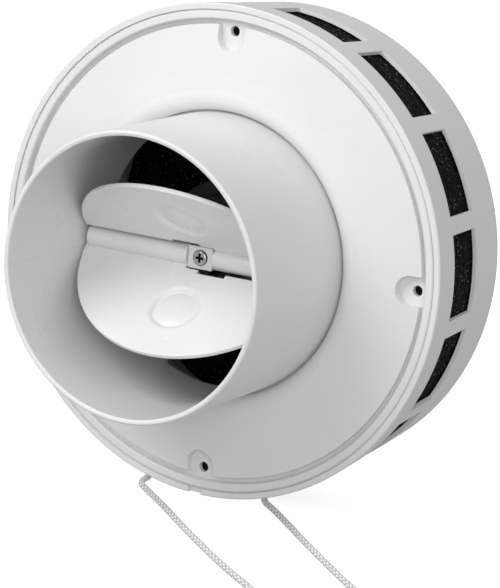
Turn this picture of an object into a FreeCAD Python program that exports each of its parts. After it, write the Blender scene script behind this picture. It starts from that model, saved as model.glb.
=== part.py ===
import FreeCAD, Part
import math
import os

from FreeCAD import Rotation, Vector

# A round wall ventilator for a 125 mm duct, in millimetres. The duct axis is Y: the spigot points to -Y, into
# the wall, the room is on +Y, and Z is up. The origin is on the duct axis in the plane of the wall.
# Two half-round leaves on one pin throttle the duct. A cord wheel behind them carries a ring of face teeth,
# which turns both leaves in opposite directions through a toothed sector on each leaf.

# ---- driving dimensions ----
HOUSING_R = 108.1            # outer radius of the casing at the wall
HOUSING_DEPTH = 69.4         # from the wall to the front face
CASING_TAPER = 0.0735        # loss of radius per millimetre towards the room
CASING_WALL = 1.8
CASING_FOOT_WALL = 2.8       # thicker wall around the back plate
CASING_FOOT_Y = 12.0
CASING_EDGE_R = 6.0          # rounding of the front edge
FRONT_OPENING_R = 90.4       # opening in the front face that the cover closes
SLOT_COUNT = 15
SLOT_ANGLE = 19.8            # width of one window in degrees
SLOT_PHASE = 2.6             # angle of one window's middle, from +X towards +Z
SLOT_Y = (15.9, 40.4)
OPENING_CHAMFER = 0.6        # broken edge of the front opening
WALL_EDGE_CHAMFER = 0.5      # broken edge of the casing at the wall
NOTCH_ANGLE = -91.0          # small notch in the casing's wall edge
NOTCH_WIDTH = 6.4
NOTCH_DEPTH = 2.4
EXIT_HOLE_R = 3.1            # holes in the casing's underside for the cords' bushes
PLATE_NOTCH_R = 4.0          # room for the bushes in the back plate's skirt

RIM_R = 104.7                # outer radius of the back plate
RIM_INNER_R = 101.2
GROOVE_INNER_R = 98.9
GROOVE_Y = 3.7               # depth of the groove and of the screw pockets
PLATE_T = 2.4
SKIRT_Y = 8.0
SKIRT_STEP_Y = 0.8           # the skirt fills the casing beyond this depth, so only a fine joint line shows
SKIRT_CLEARANCE = 0.08
SCREW_PCD = 192.5
SCREW_HOLE_R = 2.25
POCKET_HALF_WIDTH = 6.4
POCKET_ARCH_R = 94.2         # distance from the duct axis to the centre of a pocket's round end

SPIGOT_R = 61.5
SPIGOT_LENGTH = 70.9
SPIGOT_END_Y = 8.0           # inner end of the spigot
SPIGOT_BORE = (59.1, 59.9)   # bore radius at the mouth and at the inner end
SPIGOT_FLANGE_R = 74.0
PLATE_BORE_R = 62.4
FLANGE_SCREW_R = 69.0        # distance of the four flange screws from the duct axis
FLANGE_BOSS_R = 3.5
PILOT_R = 1.5                # pilot hole of a self-tapping screw
PASS_R = 1.7                 # clearance hole of a self-tapping screw
TAP_SCREW_R = 1.4            # thread of a self-tapping screw

PIN_Y = -8.7                 # the leaves' hinge axis, parallel to X
PIN_R = 2.5
PIN_HALF_LENGTH = 57.6
BARREL_R = 4.8
BARREL_X = (6.4, 57.0)
LEAF_R = 59.0
LEAF_T = 2.2
LEAF_REST = 37.0             # angle of each leaf from the horizontal plane, at rest
APEX_Y = -4.3                # where the middle planes of both leaves meet at rest, behind the hinge axis
LEAF_OFFSET = (APEX_Y - PIN_Y) * math.sin(math.radians(LEAF_REST))   # hinge axis to the leaf's middle plane
ARC_BEHIND = (APEX_Y - PIN_Y) * math.cos(math.radians(LEAF_REST))    # hinge axis to the arc's centre
NEAR_EDGE = 10.2             # straight edge of the leaf's free half, from the arc's centre
SECTOR_RELIEF = 12.1         # the same edge where it clears the other leaf's toothed sector
DIMPLE_R = 12.8
DIMPLE_DISTANCE = 32.5       # from the arc's centre
BLOCK_HALF_X = 6.0
BLOCK_HALF_Z = 4.9
BLOCK_Y = (-12.3, -5.4)
BLOCK_RECESS = 0.9           # seat of the screw's head
RUNNING_FIT = 0.05

SECTOR_PITCH_R = 7.6
TOOTH_ROOT = 1.15            # depth of a tooth below the pitch circle
TOOTH_TIP = 0.85             # height of a tooth above the pitch circle
SECTOR_TEETH = (-16.0, 14.0, 44.0, 74.0)   # tooth angles from +Y towards +Z, at rest
SECTOR_MARGIN = 6.0          # how far the sector's hub runs past its end teeth, in degrees
GEAR_RATIO = 1.5             # leaf angle for each degree of the wheel
CROWN_PITCH_R = SECTOR_PITCH_R * GEAR_RATIO
CROWN_TEETH = 18
TOOTH_HALF_FACE = 1.6
WHEEL_PITCH_R = 28.0         # radius of the cord's centre line on the wheel
WHEEL_TRAVEL = (-14.6, 35.3)
GROOVE_PLANE_Y = 13.5
POST_R = 4.0
BRIDGE_Y = (19.0, 23.0)
BRIDGE_HALF_X = 84.0
BRIDGE_SCREW_X = 79.0
PILLAR_R = 4.0               # pillars of the back plate that the bridge is screwed to
STOP_PEG_X = 18.0
STOP_PEG_R = 1.5
STOP_SLACK = 1.5             # degrees between the stop peg and each end of its slot

CORD_D = 3.0
CORD_EXIT_X = 28.0
CORD_EXIT_Y = 8.0
CORD_JOIN_Z = -99.0          # where the inner cord meets the hanging cords, above the eyelets
FLOOR_Z = -HOUSING_R         # the surface that the rim and the cords lie on
COIL_R = 16.5                # middle of the coil's turns
COIL_HALF_WIDTH = 4.5
COIL_HEIGHT = 6.0
BEAD_R = 5.5
BEAD_LENGTH = 17.0
TAIL_LENGTH = 16.0           # from the coil to the bead
TAIL_ANGLE = 0.0             # where on the coil the tail leaves it, from +X
CLIP_ANGLE = 250.0           # where on the coil its clip sits

AXIS_Y = Vector(0, 1, 0)
ORIGIN = Vector(0, 0, 0)

os.makedirs("parts", exist_ok=True)


# ---- helpers ----
def save(shape, node):
    """Write one sub-part and print its volume."""
    shape = shape.removeSplitter()
    shape.exportStep("parts/" + node + ".step")
    print(f"{node:20s} solids {len(shape.Solids):3d}  volume {shape.Volume:11.1f}  valid {shape.isValid()}")


def disc(radius, y0, y1, x=0.0, z=0.0):
    """A cylinder along Y."""
    return Part.makeCylinder(radius, y1 - y0, Vector(x, y0, z), AXIS_Y)


def ring(inner, outer, y0, y1, x=0.0, z=0.0):
    return disc(outer, y0, y1, x, z).cut(disc(inner, y0 - 1, y1 + 1, x, z))


def box(x0, x1, y0, y1, z0, z1):
    return Part.makeBox(x1 - x0, y1 - y0, z1 - z0, Vector(x0, y0, z0))


def turned(shape, angle, about=ORIGIN, axis=Vector(0, -1, 0)):
    """A copy turned about Y, positive from +X towards +Z, or about another axis."""
    copy = shape.copy()
    copy.rotate(about, axis, angle)
    return copy


def lathe(outline, angle=360.0):
    """Revolve an outline about Y. Entries are (radius, y), or (mid point, end point) for an arc."""
    edges = []
    start = here = Vector(outline[0][0], outline[0][1], 0)
    for entry in list(outline[1:]) + [outline[0]]:
        if isinstance(entry[0], tuple):
            middle, end = (Vector(p[0], p[1], 0) for p in entry)
            edges.append(Part.Arc(here, middle, end).toShape())
        else:
            end = Vector(entry[0], entry[1], 0)
            if end.isEqual(here, 1e-6):
                continue
            edges.append(Part.LineSegment(here, end).toShape())
        here = end
    if not here.isEqual(start, 1e-6):
        edges.append(Part.LineSegment(here, start).toShape())
    return Part.Face(Part.Wire(edges)).revolve(ORIGIN, AXIS_Y, angle)


def pan_screw(x, z, head_y, tip_y, head_r, head_t, shank_r):
    """A pan-head screw along Y with a cross recess, its head at head_y and its tip at tip_y."""
    way = 1 if tip_y > head_y else -1
    low, high = sorted((head_y, head_y + way * head_t))
    head = disc(head_r, low, high, x, z)
    outer = [e for e in head.Edges if abs(e.BoundBox.YMax - head_y) < 1e-6 and e.Length > head_r]
    head = head.makeFillet(0.45 * head_t, outer)
    low, high = sorted((head_y + way * head_t, tip_y))
    screw = head.fuse(disc(shank_r, low, high, x, z))
    low, high = sorted((head_y - way, head_y + way * 0.75 * head_t))
    for long_x, long_z in ((0.64 * head_r, 0.19 * head_r), (0.19 * head_r, 0.64 * head_r)):
        screw = screw.cut(box(x - long_x, x + long_x, low, high, z - long_z, z + long_z))
    return screw


# ---- housing ----
def casing_radius(y, inset=0.0):
    return HOUSING_R - CASING_TAPER * y - inset


def tapered_shell(inset):
    """Tangent points of the front edge's rounding on a shell that is inset from the outside."""
    edge = CASING_EDGE_R - min(inset, CASING_EDGE_R - 2.0)
    front = HOUSING_DEPTH - inset
    slope = math.hypot(1, CASING_TAPER)
    centre = Vector(casing_radius(front - edge, inset) - edge * slope, front - edge, 0)
    on_side = centre + Vector(1, CASING_TAPER, 0) * (edge / slope)
    middle = centre + Vector(1, 1 + CASING_TAPER, 0).normalize() * edge
    return (on_side.x, on_side.y), (middle.x, middle.y), (centre.x, front)


def casing():
    """Slotted drum with a rounded front edge and a round opening in its front."""
    side, middle, top = tapered_shell(0.0)
    side_in, middle_in, top_in = tapered_shell(CASING_WALL)
    shell = lathe([
        (casing_radius(0, WALL_EDGE_CHAMFER), 0), (casing_radius(WALL_EDGE_CHAMFER), WALL_EDGE_CHAMFER),
        side, (middle, top),
        (FRONT_OPENING_R + OPENING_CHAMFER, HOUSING_DEPTH),
        (FRONT_OPENING_R, HOUSING_DEPTH - OPENING_CHAMFER),
        (FRONT_OPENING_R, HOUSING_DEPTH - CASING_WALL), top_in, (middle_in, side_in),
        (casing_radius(CASING_FOOT_Y, CASING_WALL), CASING_FOOT_Y),
        (casing_radius(CASING_FOOT_Y, CASING_FOOT_WALL), CASING_FOOT_Y),
        (casing_radius(0, CASING_FOOT_WALL), 0)])
    inside, outside = casing_radius(HOUSING_DEPTH, 2 * CASING_WALL), HOUSING_R + CASING_WALL
    window = lathe([(inside, SLOT_Y[0]), (outside, SLOT_Y[0]), (outside, SLOT_Y[1]), (inside, SLOT_Y[1])],
                   SLOT_ANGLE)
    cuts = []
    for number in range(SLOT_COUNT):
        cuts.append(turned(window, SLOT_PHASE + SLOT_ANGLE / 2 + number * 360.0 / SLOT_COUNT))
    notch = box(inside, outside, -1, NOTCH_DEPTH, -NOTCH_WIDTH / 2, NOTCH_WIDTH / 2)
    cuts.append(turned(notch, NOTCH_ANGLE))
    for x in (-CORD_EXIT_X, CORD_EXIT_X):
        cuts.append(Part.makeCylinder(EXIT_HOLE_R, inside / 5, Vector(x, CORD_EXIT_Y, -outside)))
    return shell.cut(cuts)


def back_plate():
    """Dished plate with a flat rim, a groove inside it, four screw pockets and a rolled collar edge."""
    front_arc = ((88.0, -0.65), (77.6, -2.05))
    crease = [(76.9, -2.2), ((74.0, -2.62), (71.2, -2.92)), (70.6, -3.04)]
    lip_arc = ((65.6, -2.75), (PLATE_BORE_R, 0.4))
    skirt = CASING_FOOT_WALL + SKIRT_CLEARANCE
    back_arc = ((85.0, -0.9 + PLATE_T), (GROOVE_INNER_R - PLATE_T, 1.0 + PLATE_T))
    plate = lathe([
        (RIM_R, 0.4), (RIM_R - 0.4, 0), (RIM_INNER_R + 0.5, 0), (RIM_INNER_R, 0.5), (RIM_INNER_R, GROOVE_Y),
        (GROOVE_INNER_R, GROOVE_Y), (GROOVE_INNER_R, 1.2), front_arc, *crease, lip_arc,
        (PLATE_BORE_R, 2.6), (66.5, 0.2), (71.0, -0.5), back_arc,
        (GROOVE_INNER_R - PLATE_T, GROOVE_Y + PLATE_T), (RIM_INNER_R + 1.3, GROOVE_Y + PLATE_T),
        (RIM_INNER_R + 1.3, SKIRT_Y), (casing_radius(SKIRT_Y, skirt), SKIRT_Y),
        (casing_radius(SKIRT_STEP_Y, skirt), SKIRT_STEP_Y), (RIM_R, SKIRT_STEP_Y)])
    hole_r = SCREW_PCD / 2
    outer = GROOVE_INNER_R - 0.1
    wall = POCKET_HALF_WIDTH + 1.8
    solids, cuts = [], []
    for number in range(4):
        cup = disc(wall, 1.6, GROOVE_Y + PLATE_T, POCKET_ARCH_R).fuse(
            box(POCKET_ARCH_R, outer, 1.6, GROOVE_Y + PLATE_T, -wall, wall)).common(disc(outer, 0, 10))
        solids.append(turned(cup, 90.0 * number))
        pocket = disc(POCKET_HALF_WIDTH, -6, GROOVE_Y, POCKET_ARCH_R).fuse(
            box(POCKET_ARCH_R, RIM_INNER_R, -6, GROOVE_Y, -POCKET_HALF_WIDTH, POCKET_HALF_WIDTH))
        pocket = pocket.common(disc(RIM_INNER_R - 0.02, -7, 10))
        cuts.append(turned(pocket.fuse(disc(SCREW_HOLE_R, 0, 10, hole_r)), 90.0 * number))
        solids.append(turned(disc(FLANGE_BOSS_R, -1.8, 2.8, FLANGE_SCREW_R), 45 + 90.0 * number))
        cuts.append(turned(disc(PILOT_R, -1.0, 4, FLANGE_SCREW_R), 45 + 90.0 * number))
    for x in (-BRIDGE_SCREW_X, BRIDGE_SCREW_X):
        solids.append(disc(PILLAR_R, -0.6, BRIDGE_Y[0] - 0.1, x))
        cuts.append(disc(PILOT_R, 7.0, BRIDGE_Y[0] + 1, x))
    for x in (-CORD_EXIT_X, CORD_EXIT_X):
        cuts.append(Part.makeCylinder(PLATE_NOTCH_R, 13, Vector(x, CORD_EXIT_Y, -110.6)))
    return plate.fuse(solids).cut(cuts)


def spigot_tube():
    """Duct spigot with a tapered bore and a flange that is screwed to the back of the plate."""
    mouth, end = SPIGOT_BORE
    mouth_y = -SPIGOT_LENGTH
    tube = lathe([
        (mouth + 0.8, mouth_y), ((SPIGOT_R - 0.24, mouth_y + 0.24), (SPIGOT_R, mouth_y + 0.8)),
        (SPIGOT_R, 2.9), (SPIGOT_FLANGE_R, 2.9), (SPIGOT_FLANGE_R, 5.4), (63.4, 5.4), (62.2, 6.6),
        (62.2, SPIGOT_END_Y), (end, SPIGOT_END_Y), (mouth, mouth_y + 0.8),
        ((mouth + 0.24, mouth_y + 0.24), (mouth + 0.8, mouth_y))])
    holes = [turned(disc(PASS_R, 0, 8, FLANGE_SCREW_R), 45 + 90.0 * number) for number in range(4)]
    return tube.cut(holes)


def spigot_screws():
    screw = pan_screw(FLANGE_SCREW_R, 0, 7.1, -0.6, 2.8, 1.6, TAP_SCREW_R)
    return Part.makeCompound([turned(screw, 45 + 90.0 * number) for number in range(4)])


def front_cover():
    """Round lid in the front of the casing, with a plug ring and a finger notch."""
    edge = FRONT_OPENING_R - 0.5
    lid = lathe([
        (0, 72.0), ((48, 71.3), (edge - 1.0, 69.0)), (edge, 68.0), (edge, 66.9), (88.0, 66.9), (88.0, 58.5),
        (86.0, 58.5), (86.0, 66.6), ((48, 68.9), (0, 69.6))])
    finger = Part.makeSphere(9.0, Vector(0, 75.2, -edge + 2))
    return lid.cut(finger)


def insulation_disc():
    return lathe([(0, 69.1), ((42, 68.55), (84.5, 66.3)), (84.5, 60.5), (82.5, 58.5), (0, 58.5)])


def filter_ring():
    """Ring of open foam just behind the windows."""
    low, high = 14.0, 45.6
    return lathe([(91.0, low), (casing_radius(low, CASING_WALL + 0.5), low),
                  (casing_radius(high, CASING_WALL + 0.5), high), (91.0, high)])


def filter_cage():
    """Barred ring that holds the foam from inside, with a flange on each side of it."""
    inner, outer = 88.6, 90.6
    body = ring(inner, outer, 12.3, 66.3)
    body = body.fuse([ring(inner, 102.4, 12.3, 13.7), ring(inner, 100.6, 45.9, 47.3)])
    window = lathe([(80, 16.5), (95, 16.5), (95, 43.0), (80, 43.0)], 14.0)
    count = 20
    return body.cut([turned(window, number * 360.0 / count) for number in range(count)])


# ---- damper ----
def bridge():
    """Bar across the duct's inner end, with the post that carries the wheel and the hinge block."""
    bar = box(-BRIDGE_HALF_X, BRIDGE_HALF_X, BRIDGE_Y[0], BRIDGE_Y[1], -7, 7)
    bar = bar.makeFillet(1.2, [e for e in bar.Edges if e.Length > 100])
    ribs = [box(-70, 70, BRIDGE_Y[1] - 0.5, BRIDGE_Y[1] + 3, z - 0.9, z + 0.9) for z in (-5, 5)]
    post = disc(POST_R, BLOCK_Y[1] + 0.1, BRIDGE_Y[0] + 1)
    peg = disc(STOP_PEG_R, 6.4, BRIDGE_Y[0] + 1, STOP_PEG_X)
    holes = [disc(PASS_R, 10, 30, x) for x in (-BRIDGE_SCREW_X, BRIDGE_SCREW_X)]
    holes += [disc(PILOT_R, BLOCK_Y[1] - 1, 6.0), ring(POST_R - 0.5, POST_R + 1, 4.3, 5.3)]
    return bar.fuse(ribs + [post, peg]).cut(holes)


def bridge_screws():
    tip = 8.0
    head = BRIDGE_Y[1] + 1.7
    sides = (-BRIDGE_SCREW_X, BRIDGE_SCREW_X)
    return Part.makeCompound([pan_screw(x, 0, head, tip, 3.0, 1.7, TAP_SCREW_R) for x in sides])


def centre_block():
    """Square block that clamps the hinge pin to the post."""
    block = box(-BLOCK_HALF_X, BLOCK_HALF_X, BLOCK_Y[0], BLOCK_Y[1], -BLOCK_HALF_Z, BLOCK_HALF_Z)
    depth = BLOCK_Y[1] - BLOCK_Y[0]
    block = block.makeFillet(0.6, [e for e in block.Edges if abs(e.Length - depth) < 1e-6])
    pin_hole = Part.makeCylinder(PIN_R + 0.02, 40, Vector(-20, PIN_Y, 0), Vector(1, 0, 0))
    return block.cut([pin_hole, disc(1.6, -20, 20), disc(3.6, -20, BLOCK_Y[0] + BLOCK_RECESS)])


def block_screw():
    return pan_screw(0, 0, BLOCK_Y[0] - 0.7, 4.5, 3.1, BLOCK_RECESS + 0.7, TAP_SCREW_R)


def hinge_pin():
    pin = Part.makeCylinder(PIN_R, 2 * PIN_HALF_LENGTH, Vector(-PIN_HALF_LENGTH, PIN_Y, 0), Vector(1, 0, 0))
    pin = pin.makeChamfer(0.4, pin.Edges[::2])
    return pin.cut(disc(PILOT_R, -20, 20))


def sector_tooth(angle):
    """One straight-sided tooth of a leaf's sector, on +Y of the hinge axis, turned to its angle."""
    root, tip = SECTOR_PITCH_R - TOOTH_ROOT, SECTOR_PITCH_R + TOOTH_TIP
    points = [(root, -0.93), (tip, -0.38), (tip, 0.38), (root, 0.93)]
    corners = [Vector(CROWN_PITCH_R - TOOTH_HALF_FACE, PIN_Y + y, z) for y, z in points]
    face = Part.Face(Part.makePolygon(corners + corners[:1]))
    tooth = face.extrude(Vector(2 * TOOTH_HALF_FACE, 0, 0))
    return turned(tooth, angle, Vector(0, PIN_Y, 0), Vector(1, 0, 0))


def upper_leaf():
    """Half-round leaf on a hinge barrel along its +X half, made level towards -Y and turned to its rest."""
    arc_y, low = PIN_Y + ARC_BEHIND, LEAF_OFFSET - LEAF_T / 2
    disc_r = Part.makeCylinder(LEAF_R, LEAF_T, Vector(0, arc_y, low))
    blade = disc_r.makeFillet(0.5, disc_r.Edges[:1] + disc_r.Edges[2:])
    blade = blade.cut(box(-80, 80, arc_y - NEAR_EDGE, 80, -9, 9))
    relief_x = CROWN_PITCH_R + TOOTH_HALF_FACE + 0.5
    blade = blade.cut(box(-relief_x, 0, arc_y - SECTOR_RELIEF, 80, -9, 9))
    x0, x1 = BARREL_X
    web = box(x0 + 0.2, LEAF_R, arc_y - SECTOR_RELIEF - 1.0, PIN_Y, low, low + LEAF_T).common(disc_r)
    barrel = Part.makeCylinder(BARREL_R, x1 - x0, Vector(x0, PIN_Y, 0), Vector(1, 0, 0))
    # the dimple is a soft-edged channel around a low domed island, on the face turned to the other leaf
    dimple = lathe([(0, -0.3), ((5.0, -0.5), (8.8, -1.3)), ((9.5, -1.48), (10.2, -1.3)),
                    ((11.3, -0.35), (DIMPLE_R, 0.0)), (DIMPLE_R, 1), (0, 1)])
    dimple.rotate(ORIGIN, Vector(1, 0, 0), -90)
    dimple.translate(Vector(0, arc_y - DIMPLE_DISTANCE, low))
    leaf = blade.cut(dimple).fuse([web, barrel])
    leaf.rotate(Vector(0, PIN_Y, 0), Vector(1, 0, 0), -LEAF_REST)
    face_x0 = CROWN_PITCH_R - TOOTH_HALF_FACE
    hub_r = SECTOR_PITCH_R - TOOTH_ROOT + 0.1
    hub = Part.makeCylinder(hub_r, 2 * TOOTH_HALF_FACE, Vector(face_x0, PIN_Y, 0), Vector(1, 0, 0))
    arc = box(0, 40, PIN_Y, 40, -40, 40)
    low_half = turned(arc, SECTOR_TEETH[0] - SECTOR_MARGIN + 90.0, Vector(0, PIN_Y, 0), Vector(1, 0, 0))
    high_half = turned(arc, SECTOR_TEETH[-1] + SECTOR_MARGIN - 90.0, Vector(0, PIN_Y, 0), Vector(1, 0, 0))
    hub = hub.common(low_half).common(high_half)
    leaf = leaf.fuse([hub] + [sector_tooth(angle) for angle in SECTOR_TEETH])
    bore = Part.makeCylinder(PIN_R + RUNNING_FIT, 80, Vector(x0 - 1, PIN_Y, 0), Vector(1, 0, 0))
    return leaf.cut(bore)


def cord_wheel():
    """Grooved wheel with a ring of face teeth on its duct side and a slot for the stop peg."""
    groove_r = WHEEL_PITCH_R - CORD_D / 2 - 0.3
    flange_r = WHEEL_PITCH_R + 3.0
    low, high = GROOVE_PLANE_Y - 2.9, GROOVE_PLANE_Y + 2.9
    half = CORD_D / 2 + 0.4
    wheel = lathe([
        (POST_R + RUNNING_FIT, 5.9), (24.0, 5.9), (flange_r - 6, low), (flange_r, low),
        (flange_r, GROOVE_PLANE_Y - half - 0.2), (groove_r, GROOVE_PLANE_Y - half),
        (groove_r, GROOVE_PLANE_Y + half), (flange_r, GROOVE_PLANE_Y + half + 0.2),
        (flange_r, high), (flange_r - 6, high), (21.5, 8.9),
        (8.0, 8.9), (8.0, high), (POST_R + RUNNING_FIT, high)])
    pitch_y = PIN_Y + SECTOR_PITCH_R
    inner, outer = CROWN_PITCH_R - TOOTH_HALF_FACE - 0.5, CROWN_PITCH_R + TOOTH_HALF_FACE + 0.5
    tip_y, root_y = pitch_y - TOOTH_TIP + 0.05, pitch_y + TOOTH_ROOT + 0.05
    points = [(tip_y, -0.34), (tip_y, 0.34), (root_y + 0.3, 0.93), (root_y + 0.3, -0.93)]
    corners = [Vector(inner, y, z) for y, z in points]
    tooth = Part.Face(Part.makePolygon(corners + corners[:1])).extrude(Vector(outer - inner, 0, 0))
    first_space = SECTOR_TEETH[1] / GEAR_RATIO
    pitch = 360.0 / CROWN_TEETH
    teeth = [turned(tooth, first_space + pitch * (number + 0.5)) for number in range(CROWN_TEETH)]
    room = math.degrees(math.asin(STOP_PEG_R / STOP_PEG_X)) + STOP_SLACK
    sweep = WHEEL_TRAVEL[1] - WHEEL_TRAVEL[0] + 2 * room
    near, far = STOP_PEG_X - STOP_PEG_R - 0.4, STOP_PEG_X + STOP_PEG_R + 0.4
    slot = lathe([(near, 5), (far, 5), (far, 10), (near, 10)], sweep)
    slot = turned(slot, WHEEL_TRAVEL[1] + room)
    return wheel.fuse(teeth + [ring(inner, outer, root_y, 6.4)]).cut(slot)


def wheel_clip():
    """Open retaining clip in the post's groove."""
    return ring(POST_R - 0.45, POST_R + 2.8, 4.4, 5.2).cut(box(-1.9, 1.9, 4, 6, 0, 9))


def thrust_washer():
    return ring(POST_R + 0.2, POST_R + 4.2, 16.5, 17.2)


def friction_washer():
    """Dished spring washer that keeps the wheel where it was pulled."""
    return lathe([(POST_R + 0.3, 18.3), (POST_R + 4.0, 17.3), (POST_R + 4.0, 17.9), (POST_R + 0.3, 18.9)])


# ---- cords ----
def rounded_edges(points, radii):
    """Straight runs joined by tangent arcs, each as large as its two runs allow."""
    corners = [Vector(*p) for p in points]
    edges, here = [], corners[0]
    for before, corner, after in zip(corners, corners[1:], corners[2:]):
        back, ahead = before - corner, after - corner
        half_turn = (math.pi - back.getAngle(ahead)) / 2
        reach = 0.45 * min(back.Length, ahead.Length)
        radius = reach / math.tan(half_turn)
        radii.append(round(radius, 1))
        back, ahead = back.normalize(), ahead.normalize()
        start, end = corner + back * reach, corner + ahead * reach
        inward = (back + ahead).normalize()
        middle = corner + inward * (radius / math.cos(half_turn) - radius)
        edges.append(Part.LineSegment(here, start).toShape())
        edges.append(Part.Arc(start, middle, end).toShape())
        here = end
    edges.append(Part.LineSegment(here, corners[-1]).toShape())
    return edges


def tube(edges, name, radii):
    """A round tube along the edges, checked against its section times its length."""
    path = Part.Wire(edges)
    start = edges[0].valueAt(edges[0].FirstParameter)
    along = edges[0].tangentAt(edges[0].FirstParameter)
    section = Part.Wire([Part.makeCircle(CORD_D / 2, start, along)])
    solid = path.makePipeShell([section], True, True)
    expected = math.pi * (CORD_D / 2) ** 2 * path.Length
    ratio = solid.Volume / expected
    print(f"{name:20s} length {path.Length:.1f}  volume/expected {ratio:.4f}  radii {radii}")
    return solid


LEFT_ROUTE = [
    (-28.0, 8.0, -99.0), (-28.0, 8.0, -106.6), (-27.2, -5.0, -106.6), (-18.5, -13.3, -106.6),
    (-3.6, -25.6, -106.6), (19.3, -46.7, -106.6), (59.9, -82.1, -106.6), (86.0, -101.5, -106.6),
    (117.1, -126.6, -106.6)]
RIGHT_ROUTE = [
    (28.0, 8.0, -99.0), (28.0, 8.0, -106.6), (36.6, 1.3, -106.6), (50.0, -11.2, -106.6),
    (72.0, -32.6, -106.6), (105.1, -63.2, -106.6), (124.0, -79.6, -106.6), (156.0, -104.0, -106.6)]


def drive_cord():
    """The cord inside the housing: up from one eyelet, over the wheel and down to the other."""
    radii = []
    low = (-CORD_EXIT_X, CORD_EXIT_Y, CORD_JOIN_Z)
    bend = (-CORD_EXIT_X, GROOVE_PLANE_Y, -18.0)
    side = (-WHEEL_PITCH_R, GROOVE_PLANE_Y, 0.0)
    up = rounded_edges([low, bend, side], radii)
    top = Vector(0, GROOVE_PLANE_Y, WHEEL_PITCH_R)
    over = Part.Arc(Vector(*side), top, Vector(-side[0], side[1], 0)).toShape()
    down = rounded_edges([(-p[0], p[1], p[2]) for p in (side, bend, low)], radii)
    return tube(up + [over] + down, "drive_cord", radii)


def coil_centre(route):
    """The coil lies to the right of the cord's last run, which meets its outer turn."""
    before, end = Vector(*route[-2]), Vector(*route[-1])
    along = (end - before).normalize()
    outer_turn = COIL_R + COIL_HALF_WIDTH - CORD_D / 2
    return end + Vector(along.y, -along.x, 0) * outer_turn


def coil(route):
    """Outer shape of the wound length, with the short tail that runs to the bead."""
    centre = coil_centre(route)
    centre.z = FLOOR_Z
    body = Part.makeCylinder(COIL_R + COIL_HALF_WIDTH, COIL_HEIGHT, centre)
    body = body.cut(Part.makeCylinder(COIL_R - COIL_HALF_WIDTH, COIL_HEIGHT, centre))
    start, along = tail_start(route)
    return body.fuse(Part.makeCylinder(CORD_D / 2, TAIL_LENGTH + 1.0, start, along))


def tail_start(route):
    centre = coil_centre(route)
    angle = math.radians(TAIL_ANGLE)
    radius = COIL_R + COIL_HALF_WIDTH - CORD_D / 2
    start = centre + Vector(math.cos(angle), math.sin(angle), 0) * radius
    start.z = FLOOR_Z + 1.5 * CORD_D
    rise = (BEAD_R - 1.5 * CORD_D) / TAIL_LENGTH
    return start, Vector(math.sin(angle), -math.cos(angle), rise).normalize()


def bead(route):
    """Pull bead, an acorn with a flat cord end and a round nose, lying on the floor."""
    start, along = tail_start(route)
    neck = 2.6
    nose = BEAD_LENGTH - BEAD_R
    half_r = BEAD_R * math.sqrt(0.5)
    shape = lathe([
        (0, 0), (neck, 0), ((4.5, 4.0), (BEAD_R, nose - 2.0)), (BEAD_R, nose),
        ((half_r, nose + half_r), (0, BEAD_LENGTH))])
    level = Vector(along.x, along.y, 0).normalize()
    shape.Placement = FreeCAD.Placement(ORIGIN, Rotation(AXIS_Y, level))
    shape.translate(Vector(start.x, start.y, FLOOR_Z + BEAD_R) + level * TAIL_LENGTH)
    return shape


def coil_clip(route):
    """Clip pressed over the coil from above, open at the bottom."""
    centre = coil_centre(route)
    inner, wall, top = COIL_HALF_WIDTH + 0.3, 1.2, FLOOR_Z + COIL_HEIGHT + 0.3
    clip = box(COIL_R - inner - wall, COIL_R + inner + wall, -2.5, 2.5, FLOOR_Z + 0.3, top + wall)
    clip = clip.makeFillet(0.8, [e for e in clip.Edges if abs(e.BoundBox.ZMin - top - wall) < 1e-6])
    clip = clip.cut(box(COIL_R - inner, COIL_R + inner, -4, 4, FLOOR_Z - 1, top))
    clip.rotate(ORIGIN, Vector(0, 0, 1), CLIP_ANGLE)
    clip.translate(Vector(centre.x, centre.y, 0))
    return clip


def cord_eyelets():
    """Bushes that guide the cords out through the casing's underside."""
    solids = []
    for x in (-CORD_EXIT_X, CORD_EXIT_X):
        bush = lathe([(2.7, -103.7), (3.05, -103.3), (3.05, -99.1), (3.7, -99.1), (3.7, -98.2), (2.6, -97.8),
                      (1.95, -98.6), (1.95, -102.5)])
        bush.rotate(ORIGIN, Vector(1, 0, 0), 90)
        bush.translate(Vector(x, CORD_EXIT_Y, 0))
        solids.append(bush)
    return Part.makeCompound(solids)


for node, make in (
        ("back_plate", back_plate), ("spigot_tube", spigot_tube), ("spigot_screws", spigot_screws),
        ("casing", casing), ("front_cover", front_cover), ("insulation_disc", insulation_disc),
        ("filter_ring", filter_ring), ("filter_cage", filter_cage), ("bridge", bridge),
        ("bridge_screws", bridge_screws), ("centre_block", centre_block), ("block_screw", block_screw),
        ("hinge_pin", hinge_pin), ("upper_leaf", upper_leaf), ("cord_wheel", cord_wheel),
        ("wheel_clip", wheel_clip), ("thrust_washer", thrust_washer), ("friction_washer", friction_washer),
        ("cord_eyelets", cord_eyelets), ("drive_cord", drive_cord)):
    save(make(), node)

# the lower leaf is the upper one turned half round the duct axis
save(turned(upper_leaf(), 180.0), "lower_leaf")

for side, route in (("left", LEFT_ROUTE), ("right", RIGHT_ROUTE)):
    corner_radii = []
    run = tube(rounded_edges(route, corner_radii), side + "_cord", corner_radii)
    save(run, side + "_cord")
    save(coil(route), side + "_cord_coil")
    save(coil_clip(route), side + "_cord_clip")
    save(bead(route), side + "_cord_bead")
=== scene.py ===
import math

import bpy
import numpy as np
from mathutils import Matrix, Vector


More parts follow.
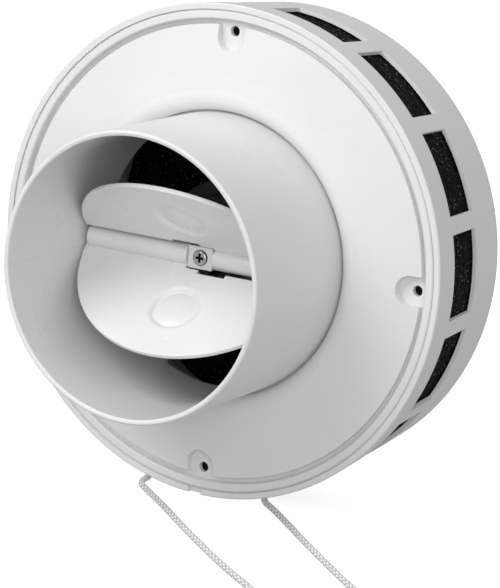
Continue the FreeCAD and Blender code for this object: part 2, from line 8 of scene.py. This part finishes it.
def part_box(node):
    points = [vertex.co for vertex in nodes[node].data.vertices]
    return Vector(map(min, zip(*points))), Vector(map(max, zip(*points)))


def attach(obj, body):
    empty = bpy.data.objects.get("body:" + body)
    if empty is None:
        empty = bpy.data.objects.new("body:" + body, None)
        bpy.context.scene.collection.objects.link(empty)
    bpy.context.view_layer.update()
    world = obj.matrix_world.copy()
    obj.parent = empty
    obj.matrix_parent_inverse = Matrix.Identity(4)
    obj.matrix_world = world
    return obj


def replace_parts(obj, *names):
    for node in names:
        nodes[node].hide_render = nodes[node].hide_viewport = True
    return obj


# A round wall ventilator seen from its duct side. Metres, duct axis along Y, room on +Y, Z up.

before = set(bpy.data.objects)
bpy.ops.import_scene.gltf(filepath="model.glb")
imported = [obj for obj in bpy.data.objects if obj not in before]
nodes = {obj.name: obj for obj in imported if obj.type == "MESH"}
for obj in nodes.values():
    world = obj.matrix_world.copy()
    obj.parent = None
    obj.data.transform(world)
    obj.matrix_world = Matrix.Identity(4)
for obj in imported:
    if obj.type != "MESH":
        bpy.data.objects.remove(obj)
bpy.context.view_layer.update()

FLOOR_Z = -0.1081            # the surface that the rim and the cords lie on


# ---- camera and light ----
VIEW_ANGLES = (29.11, 12.84, 4.27)          # azimuth towards +X, elevation and roll, in degrees
VIEW_PLACE = (0.0151, -0.0173, 1.3371)      # of the camera along its own right, up and back
SENSOR_MM, LENS_MM = 36.0, 190.31633


def add_camera():
    """Looks at the duct side from its +X side and a little above."""
    azimuth, elevation, roll = (math.radians(angle) for angle in VIEW_ANGLES)
    back = Vector((math.sin(azimuth) * math.cos(elevation), -math.cos(azimuth) * math.cos(elevation),
                   math.sin(elevation)))
    right = (-back).cross(Vector((0, 0, 1))).normalized()
    up = right.cross(-back)
    x_axis = math.cos(roll) * right + math.sin(roll) * up
    y_axis = -math.sin(roll) * right + math.cos(roll) * up
    place = VIEW_PLACE[0] * x_axis + VIEW_PLACE[1] * y_axis + VIEW_PLACE[2] * back
    data = bpy.data.cameras.new("camera")
    data.sensor_width = SENSOR_MM
    data.lens = LENS_MM
    data.clip_start = 0.05
    data.clip_end = 50
    camera = bpy.data.objects.new("camera", data)
    turn = Matrix((x_axis, y_axis, back)).transposed()
    camera.matrix_world = Matrix.Translation(place) @ turn.to_4x4()
    bpy.context.scene.collection.objects.link(camera)
    bpy.context.scene.camera = camera


def add_light(name, place, target, size, power):
    """A white rectangular lamp that faces the target."""
    data = bpy.data.lights.new(name, "AREA")
    data.shape = "RECTANGLE"
    data.size, data.size_y = size
    data.energy = power
    lamp = bpy.data.objects.new(name, data)
    place = Vector(place)
    lamp.matrix_world = Matrix.Translation(place) @ (
        (Vector(target) - place).to_track_quat("-Z", "Y").to_matrix().to_4x4())
    bpy.context.scene.collection.objects.link(lamp)


def add_world(strength):
    world = bpy.data.worlds.new("studio")
    bpy.context.scene.world = world
    world.use_nodes = True
    background = world.node_tree.nodes["Background"]
    background.inputs["Color"].default_value = (1.0, 1.0, 1.0, 1.0)
    background.inputs["Strength"].default_value = strength


# ---- small node helpers ----
class Shader:
    """A node material, built up call by call."""

    def __init__(self, name):
        self.material = bpy.data.materials.new(name)
        self.material.use_nodes = True
        self.tree = self.material.node_tree
        self.surface = self.tree.nodes["Principled BSDF"]
        self.coordinates = self.add("ShaderNodeTexCoord").outputs["Object"]

    def add(self, kind, **settings):
        node = self.tree.nodes.new(kind)
        for key, value in settings.items():
            setattr(node, key, value)
        return node

    def link(self, output, node, socket):
        self.tree.links.new(output, node.inputs[socket])

    def set(self, **values):
        for key, value in values.items():
            self.surface.inputs[key.replace("_", " ").title().replace("Ior", "IOR")].default_value = value

    def stretched(self, scale):
        mapping = self.add("ShaderNodeMapping")
        mapping.inputs["Scale"].default_value = scale
        self.link(self.coordinates, mapping, "Vector")
        return mapping.outputs["Vector"]

    def noise(self, scale, detail=3.0, vector=None):
        node = self.add("ShaderNodeTexNoise")
        node.inputs["Scale"].default_value = scale
        node.inputs["Detail"].default_value = detail
        self.link(vector or self.coordinates, node, "Vector")
        return node.outputs["Fac"]

    def cells(self, scale):
        node = self.add("ShaderNodeTexVoronoi")
        node.inputs["Scale"].default_value = scale
        self.link(self.coordinates, node, "Vector")
        return node.outputs["Distance"]

    def spread(self, value, low, high, out_low=0.0, out_high=1.0):
        node = self.add("ShaderNodeMapRange")
        limits = {"From Min": low, "From Max": high, "To Min": out_low, "To Max": out_high}
        for socket, number in limits.items():
            node.inputs[socket].default_value = number
        self.link(value, node, "Value")
        return node.outputs["Result"]

    def maths(self, operation, first, second):
        node = self.add("ShaderNodeMath", operation=operation)
        for index, value in enumerate((first, second)):
            if isinstance(value, (int, float)):
                node.inputs[index].default_value = value
            else:
                self.tree.links.new(value, node.inputs[index])
        return node.outputs["Value"]

    def blend(self, factor, first, second):
        node = self.add("ShaderNodeMix", data_type="RGBA")
        self.tree.links.new(factor, node.inputs[0])
        for index, colour in ((6, first), (7, second)):
            if isinstance(colour, tuple):
                node.inputs[index].default_value = (*colour, 1.0)
            else:
                self.tree.links.new(colour, node.inputs[index])
        return node.outputs[2]

    def bump(self, height, distance, under=None):
        node = self.add("ShaderNodeBump")
        node.inputs["Strength"].default_value = 1.0
        node.inputs["Distance"].default_value = distance
        self.link(height, node, "Height")
        if under is not None:
            self.link(under, node, "Normal")
        return node.outputs["Normal"]

    def bevel(self, radius):
        node = self.add("ShaderNodeBevel", samples=4)
        node.inputs["Radius"].default_value = radius
        return node.outputs["Normal"]

    def rubbed(self, rounded):
        """1 where a sharp edge is near, from how far the rounded normal leaves the true one."""
        dot = self.add("ShaderNodeVectorMath", operation="DOT_PRODUCT")
        self.tree.links.new(rounded, dot.inputs[0])
        self.tree.links.new(self.add("ShaderNodeNewGeometry").outputs["Normal"], dot.inputs[1])
        return self.spread(dot.outputs["Value"], 0.80, 0.995, 1.0, 0.0)


EDGE_R, METAL_EDGE_R = 0.0004, 0.00025      # how round the shading makes an edge
SKIN_RELIEF = 0.00001
MOULD_LINE_Z = -0.0044                      # the spigot's mould line, on the -X side of its bore


def moulded(name, light, shade, roughness):
    """Injection-moulded plastic: soft tone changes, orange peel, a handling haze and rubbed edges."""
    s = Shader(name)
    rounded = s.bevel(EDGE_R)
    tone = s.blend(s.spread(s.noise(16, 4), 0.3, 0.7), light, shade)
    worn = tuple(0.86 * c for c in shade)
    wear = s.maths("MULTIPLY", s.rubbed(rounded), s.spread(s.noise(110, 3), 0.42, 0.68, 0.0, 0.55))
    tone = s.blend(wear, tone, worn)
    s.link(tone, s.surface, "Base Color")
    haze = s.spread(s.noise(26, 3), 0.35, 0.65, roughness - 0.03, roughness + 0.05)
    s.link(s.maths("ADD", haze, s.maths("MULTIPLY", wear, 0.3)), s.surface, "Roughness")
    skin = s.bump(s.noise(620, 2), SKIN_RELIEF, under=rounded)
    s.link(skin, s.surface, "Normal")
    s.set(ior=1.5)
    return s


def metal(name, light, shade, roughness):
    """Plated or drawn steel with fine lengthwise scratches and dull spots."""
    s = Shader(name)
    rounded = s.bevel(METAL_EDGE_R)
    grain = s.noise(420, 6, s.stretched((0.25, 1.0, 1.0)))
    s.link(s.blend(s.spread(s.noise(260, 4), 0.35, 0.7), light, shade), s.surface, "Base Color")
    s.link(s.spread(grain, 0.3, 0.7, roughness - 0.08, roughness + 0.14), s.surface, "Roughness")
    s.link(s.bump(grain, 0.00003, under=rounded), s.surface, "Normal")
    s.set(metallic=1.0)
    return s


def crossed_screw():
    """The block's zinc screw, with painted shade that darkens it down in its cross recess."""
    s = metal("crossed_zinc", (0.74, 0.74, 0.72), (0.58, 0.58, 0.57), 0.20)
    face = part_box("block_screw")[0].y
    place = s.add("ShaderNodeSeparateXYZ")
    s.link(s.coordinates, place, "Vector")
    # painted shade: the zinc goes near-black deeper down the cross recess, where shade falls
    recess_shade = s.spread(place.outputs["Y"], face + 0.00035, face + 0.0009)
    unshaded_zinc = s.surface.inputs["Base Color"].links[0].from_socket
    s.link(s.blend(recess_shade, unshaded_zinc, (0.02, 0.02, 0.02)), s.surface, "Base Color")
    return s


def open_foam(name):
    """Black reticulated foam: painted shade makes the pores darker than the thin grey struts, and a few
    painted glints stand out as light-grey spots.
    """
    s = Shader(name)
    pores = s.cells(620)
    # painted shade: the colour darkens towards the pore centres, away from the struts
    struts = s.spread(pores, 0.25, 0.62)
    # painted glints: sparse light-grey spots in the base colour stand in for highlights
    painted_glint = s.spread(s.cells(680), 0.12, 0.30, 1.0, 0.0)
    painted_glint = s.maths("MULTIPLY", painted_glint, s.spread(s.noise(700, 1), 0.53, 0.58))
    tone = s.blend(struts, (0.003, 0.003, 0.0032), (0.013, 0.013, 0.0135))
    s.link(s.blend(painted_glint, tone, (0.30, 0.30, 0.31)), s.surface, "Base Color")
    s.link(s.spread(s.noise(500, 2), 0.3, 0.7, 0.55, 0.95), s.surface, "Roughness")
    s.link(s.bump(pores, 0.0008), s.surface, "Normal")
    s.set(ior=1.15)
    return s


def cord_fibre(name):
    """White yarn, with painted shade: grey down between the strands."""
    s = Shader(name)
    tone = s.blend(s.spread(s.noise(300, 4), 0.3, 0.7), (0.93, 0.93, 0.92), (0.86, 0.86, 0.85))
    relief = s.add("ShaderNodeAttribute", attribute_name="relief").outputs["Fac"]
    # painted shade: grey where the braid's relief is low, in the grooves between the strands
    between = s.spread(relief, 0.30, 0.85, 1.0, 0.0)
    s.link(s.blend(between, tone, (0.50, 0.50, 0.50)), s.surface, "Base Color")
    fibre = s.noise(2600, 3)
    s.link(s.spread(fibre, 0.3, 0.7, 0.62, 0.85), s.surface, "Roughness")
    s.link(s.bump(fibre, 0.00006), s.surface, "Normal")
    s.set(ior=1.5)
    return s


def spigot_plastic():
    """The moulded white with one fine mould line along the bore."""
    s = moulded("spigot_white", (0.80, 0.80, 0.80), (0.77, 0.77, 0.775), 0.30)
    place = s.add("ShaderNodeSeparateXYZ")
    s.link(s.coordinates, place, "Vector")
    off = s.maths("ABSOLUTE", s.maths("SUBTRACT", place.outputs["Z"], MOULD_LINE_Z), 0.0)
    line = s.maths("MULTIPLY", s.spread(off, 0.0, 0.0004, 1.0, 0.0),
                   s.spread(place.outputs["X"], -0.010, -0.012))
    skin = s.surface.inputs["Normal"].links[0].from_socket
    s.link(s.bump(line, 0.00012, under=skin), s.surface, "Normal")
    return s


# ---- meshes ----
def new_piece(name, vertices, faces, material, body):
    mesh = bpy.data.meshes.new(name)
    mesh.from_pydata([tuple(v) for v in vertices], [], faces)
    mesh.update()
    mesh.shade_smooth()
    mesh.materials.append(material)
    piece = bpy.data.objects.new(name, mesh)
    bpy.context.scene.collection.objects.link(piece)
    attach(piece, body)
    return piece


def grid_faces(rows, columns, close_rows):
    """Quads between rings of a closed tube, and between the last ring and the first."""
    faces = []
    for row in range(rows if close_rows else rows - 1):
        below, above = row * columns, (row + 1) % rows * columns
        for column in range(columns):
            nxt = (column + 1) % columns
            faces.append((below + column, below + nxt, above + nxt, above + column))
    return faces


def close_ends(vertices, faces, columns, first_centre, last_centre):
    """A fan of triangles over a tube's first ring and one over its last."""
    last = len(vertices) - columns
    for start, centre in ((0, first_centre), (last, last_centre)):
        vertices.append(centre)
        middle = len(vertices) - 1
        for column in range(columns):
            a, b = start + column, start + (column + 1) % columns
            faces.append((middle, b, a) if start == 0 else (middle, a, b))


CASING_TAPER = 0.0735        # the casing's loss of radius per length towards the room
FOAM_GAP = 0.0004            # left around the foam
FOAM_INNER_R = 0.0912
FOAM_CORNER = 0.0012
FOAM_AROUND = 900
TORN_HEIGHT = 0.00022        # of the foam's skin, with its limits below
TORN_LIMITS = (-0.0006, 0.0004)


def foam_ring():
    """The foam behind the windows, its skin torn and uneven like cut foam."""
    low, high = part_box("filter_ring")
    y0, y1 = low.y + FOAM_GAP, high.y - FOAM_GAP
    foot = high.x + CASING_TAPER * low.y - FOAM_GAP
    corners = [(FOAM_INNER_R, y0), (foot - CASING_TAPER * y0, y0), (foot - CASING_TAPER * y1, y1),
               (FOAM_INNER_R, y1)]
    outline = []
    for part, count in enumerate((12, 44, 12, 12)):
        a, b = Vector(corners[part]), Vector(corners[(part + 1) % 4])
        run = (b - a).normalized()
        for step in range(count):
            outline.append(a + run * FOAM_CORNER * 0.5 + (b - a - run * FOAM_CORNER) * step / (count - 1))
    rng = np.random.default_rng(5)
    bumps = rng.normal(0.0, 1.0, (FOAM_AROUND, len(outline)))
    for _ in range(2):
        bumps = (bumps + np.roll(bumps, 1, 0) + np.roll(bumps, -1, 0) + np.roll(bumps, 1, 1)
                 + np.roll(bumps, -1, 1)) / 5
    bumps *= TORN_HEIGHT / bumps.std()
    bumps = np.clip(bumps, *TORN_LIMITS)
    vertices = []
    for row in range(FOAM_AROUND):
        angle = 2 * math.pi * row / FOAM_AROUND
        for column, point in enumerate(outline):
            radius = point.x + bumps[row, column]
            vertices.append((radius * math.cos(angle), point.y, radius * math.sin(angle)))
    faces = grid_faces(FOAM_AROUND, len(outline), True)
    return new_piece("foam_ring", vertices, faces, foam, "housing")


def insulation_pad():
    """The pad inside the cover: cut edges, a slightly crowned back."""
    low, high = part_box("insulation_disc")
    radius = high.x - 0.0006
    thickness = 0.0104
    rings, around = 40, 240
    rng = np.random.default_rng(9)
    outline = [(radius * i / rings, low.y + 0.0012 * (i / rings) ** 6) for i in range(1, rings)]
    outline += [(radius - 0.0005, low.y + 0.0016), (radius, low.y + 0.0026), (radius, low.y + 0.0070)]
    outline += [(radius * i / rings, low.y + thickness - 0.0028 * (i / rings) ** 2)
                for i in range(rings - 1, 0, -1)]
    vertices = []
    for x, y in outline:
        for column in range(around):
            angle = 2 * math.pi * column / around
            shift = float(np.clip(rng.normal(0, 0.0001), -0.0002, 0.0002))
            vertices.append((x * math.cos(angle), y + shift, x * math.sin(angle)))
    faces = grid_faces(len(outline), around, False)
    close_ends(vertices, faces, around, (0.0, low.y, 0.0), (0.0, low.y + thickness, 0.0))
    return new_piece("insulation_pad", vertices, faces, foam, "cover")


# ---- cords ----
CORD_D = 0.003
COIL_R = 0.0165
COIL_HALF_WIDTH = 0.0045
TAIL_LENGTH = 0.016
BEAD_R = 0.0055
POINTS_PER_TURN = 24
RING_SPACING, CORD_SIDES = 0.00042, 30           # of the cord's mesh tube
STRANDS, BRAID_PITCH = 4, 0.0040
BRAID_DEPTH = 0.24                               # share of the cord's radius

LEFT_ROUTE = [
    (-0.0280, 0.0080, -0.0990), (-0.0280, 0.0080, -0.1066), (-0.0272, -0.0050, -0.1066),
    (-0.0185, -0.0133, -0.1066), (-0.0036, -0.0256, -0.1066), (0.0193, -0.0467, -0.1066),
    (0.0599, -0.0821, -0.1066), (0.0860, -0.1015, -0.1066), (0.1171, -0.1266, -0.1066)]
RIGHT_ROUTE = [
    (0.0280, 0.0080, -0.0990), (0.0280, 0.0080, -0.1066), (0.0366, 0.0013, -0.1066),
    (0.0500, -0.0112, -0.1066), (0.0720, -0.0326, -0.1066), (0.1051, -0.0632, -0.1066),
    (0.1240, -0.0796, -0.1066), (0.1560, -0.1040, -0.1066)]


def wound(route):
    """The route, then the coil's turns: inward on the floor, up, outward on top, and the tail to the bead."""
    points = [Vector(p) for p in route]
    along = (points[-1] - points[-2]).normalized()
    outer = COIL_R + COIL_HALF_WIDTH - CORD_D / 2
    inner = COIL_R - COIL_HALF_WIDTH + CORD_D / 2
    centre = points[-1] + Vector((along.y, -along.x, 0)) * outer
    out = points[-1] - centre
    first = math.degrees(math.atan2(out.y, out.x))
    lower, upper = FLOOR_Z + 0.5 * CORD_D, FLOOR_Z + 1.5 * CORD_D
    inward = outward = 2.0
    climb = 0.6
    total = 5.0 + first / 360.0
    for step in range(1, math.floor(total * POINTS_PER_TURN)):
        turn = step / POINTS_PER_TURN
        if turn < inward:
            radius, height = outer + (inner - outer) * turn / inward, lower
        elif turn < inward + climb:
            radius, height = inner, lower + (upper - lower) * (turn - inward) / climb
        else:
            share = min(1.0, (turn - inward - climb) / outward)
            radius, height = inner + (outer - inner) * share, upper
        angle = math.radians(first - 360.0 * turn)
        across = Vector((math.cos(angle), math.sin(angle), 0)) * radius
        points.append(Vector((centre.x + across.x, centre.y + across.y, height)))
    start = Vector((centre.x + outer, centre.y, upper))
    end = start + Vector((0, -TAIL_LENGTH, FLOOR_Z + BEAD_R - upper))
    points += [start, start.lerp(end, 0.5), end + Vector((0, -0.001, 0))]
    return points


def over_the_wheel():
    """The inner cord: up from one eyelet, over the wheel and down to the other."""
    pitch, plane = 0.028, 0.0135
    low, bend = Vector((-pitch, 0.008, -0.099)), Vector((-pitch, plane, -0.018))
    points = [low, low.lerp(bend, 0.5), bend]
    for step in range(13):
        angle = math.radians(180 - 15 * step)
        points.append(Vector((pitch * math.cos(angle), plane, pitch * math.sin(angle))))
    mirror = Vector((-1, 1, 1))
    return points + [p * mirror for p in (bend, low.lerp(bend, 0.5), low)]


def centreline(points):
    """Evenly spaced points on the NURBS spline with these control points, and its length."""
    data = bpy.data.curves.new("route", "CURVE")
    data.dimensions = "3D"
    spline = data.splines.new("NURBS")
    spline.points.add(len(points) - 1)
    for target, point in zip(spline.points, points):
        target.co = (*point, 1.0)
    spline.order_u = 3
    spline.use_endpoint_u = True
    data.resolution_u = 48
    guide = bpy.data.objects.new("route", data)
    bpy.context.scene.collection.objects.link(guide)
    mesh = bpy.data.meshes.new_from_object(guide)
    line = np.array([v.co[:] for v in mesh.vertices])
    bpy.data.objects.remove(guide)
    bpy.data.meshes.remove(mesh)
    bpy.data.curves.remove(data)
    travelled = np.concatenate([[0.0], np.cumsum(np.linalg.norm(np.diff(line, axis=0), axis=1))])
    count = int(travelled[-1] / RING_SPACING)
    even = np.linspace(0, travelled[-1], count)
    line = np.stack([np.interp(even, travelled, line[:, axis]) for axis in range(3)], axis=1)
    return line, travelled[-1]


def braid_height(turn, distance):
    """Relief of a plaited cord: two families of strands that pass over each other by turns."""
    a = STRANDS * turn + distance / BRAID_PITCH
    b = STRANDS * turn - distance / BRAID_PITCH
    over = (np.floor(a) + np.floor(b)) % 2 < 1
    across, length = np.where(over, a % 1, b % 1), np.where(over, b % 1, a % 1)
    return np.sin(math.pi * across) ** 0.7 * (0.30 + 0.70 * np.sin(math.pi * length) ** 0.8)


def braided(name, points, body):
    """A plaited round cord as a closed mesh tube along its centre line."""
    line, length = centreline(points)
    along = np.gradient(line, axis=0)
    along /= np.linalg.norm(along, axis=1)[:, None]
    side = np.cross(along[0], (0.3, 0.8, 0.52))
    turn = np.arange(CORD_SIDES) / CORD_SIDES
    rings, relief = np.empty((len(line), CORD_SIDES, 3)), np.empty((len(line), CORD_SIDES))
    step = length / (len(line) - 1)
    for index, (here, way) in enumerate(zip(line, along)):
        side -= way * side.dot(way)
        side /= np.linalg.norm(side)
        other = np.cross(way, side)
        relief[index] = braid_height(turn, index * step)
        radius = CORD_D / 2 * (1 - BRAID_DEPTH + BRAID_DEPTH * relief[index])
        rings[index] = (here + np.outer(radius * np.cos(2 * math.pi * turn), side)
                        + np.outer(radius * np.sin(2 * math.pi * turn), other))
    vertices = [tuple(v) for v in rings.reshape(-1, 3)]
    faces = grid_faces(len(line), CORD_SIDES, False)
    close_ends(vertices, faces, CORD_SIDES, tuple(line[0]), tuple(line[-1]))
    piece = new_piece(name, vertices, faces, fibre, body)
    layer = piece.data.attributes.new("relief", "FLOAT", "POINT")
    values = np.concatenate([relief.ravel(), [0.5, 0.5]])        # the last two are the ends' centres
    layer.data.foreach_set("value", values.astype(np.float32))
    return piece, [tuple(float(c) for c in p) for p in line]


# ---- making ----
add_camera()
add_world(0.42)
centre = (0.0, -0.02, 0.0)
add_light("key", (-0.66, -1.12, 1.16), centre, (1.1, 0.8), 18)
add_light("front", (1.3, -2.0, 0.65), centre, (1.6, 1.2), 19)
add_light("top", (0.5, 0.1, 1.6), centre, (0.8, 1.2), 1.5)
bpy.context.scene.view_settings.view_transform = "Standard"

foam = open_foam("black_foam").material
fibre = cord_fibre("cord_fibre").material

white = moulded("white_moulding", (0.80, 0.80, 0.80), (0.77, 0.77, 0.775), 0.30).material
leaf_white = moulded("leaf_moulding", (0.82, 0.82, 0.82), (0.79, 0.79, 0.795), 0.24).material
looks = {
    "back_plate": white, "casing": white, "front_cover": white,
    "spigot_tube": spigot_plastic().material,
    "upper_leaf": leaf_white, "lower_leaf": leaf_white,
    "centre_block": moulded("block_moulding", (0.78, 0.78, 0.78), (0.73, 0.73, 0.735), 0.35).material,
    "hinge_pin": moulded("pin_moulding", (0.80, 0.80, 0.795), (0.76, 0.76, 0.76), 0.32).material,
}
black = moulded("black_moulding", (0.035, 0.035, 0.036), (0.045, 0.045, 0.046), 0.55).material
for name in ("bridge", "cord_wheel", "filter_cage"):
    looks[name] = black
zinc = metal("zinc_plate", (0.66, 0.66, 0.64), (0.46, 0.46, 0.45), 0.20).material
for name in ("spigot_screws", "bridge_screws"):
    looks[name] = zinc
looks["block_screw"] = crossed_screw().material
spring = metal("spring_steel", (0.42, 0.42, 0.43), (0.30, 0.30, 0.31), 0.34).material
for name in ("wheel_clip", "friction_washer"):
    looks[name] = spring
acetal = moulded("acetal", (0.74, 0.74, 0.71), (0.69, 0.69, 0.66), 0.42).material
for name in ("thrust_washer", "cord_eyelets"):
    looks[name] = acetal
bead_white = moulded("bead_moulding", (0.82, 0.82, 0.81), (0.77, 0.77, 0.76), 0.22).material
for name in ("left_cord_bead", "right_cord_bead", "left_cord_clip", "right_cord_clip"):
    looks[name] = bead_white
for name, look in looks.items():
    for slot in nodes[name].material_slots:
        slot.material = look

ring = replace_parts(foam_ring(), "filter_ring")
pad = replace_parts(insulation_pad(), "insulation_disc")

for side, route in (("left", LEFT_ROUTE), ("right", RIGHT_ROUTE)):
    piece, path = braided(side + "_pull_cord", wound(route), "housing")
    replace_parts(piece, side + "_cord", side + "_cord_coil")
piece, path = braided("wheel_cord", over_the_wheel(), "housing")
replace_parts(piece, "drive_cord")

# floor
floor_shader = Shader("floor")
tone = floor_shader.blend(floor_shader.noise(3.0, 2), (0.42, 0.42, 0.42), (0.38, 0.38, 0.38))
floor_shader.link(tone, floor_shader.surface, "Base Color")
floor_shader.set(roughness=0.9)
floor_shader.surface.inputs["Emission Color"].default_value = (1.0, 1.0, 1.0, 1.0)
floor_shader.surface.inputs["Emission Strength"].default_value = 0.85
half = 8.0
mesh = bpy.data.meshes.new("floor")
corners = [(x, y, FLOOR_Z) for x, y in ((-half, -half), (half, -half), (half, half), (-half, half))]
mesh.from_pydata(corners, [], [(0, 1, 2, 3)])
mesh.materials.append(floor_shader.material)
floor = bpy.data.objects.new("floor", mesh)
bpy.context.scene.collection.objects.link(floor)
floor.visible_diffuse = floor.visible_glossy = False     # its light would wash out the underside
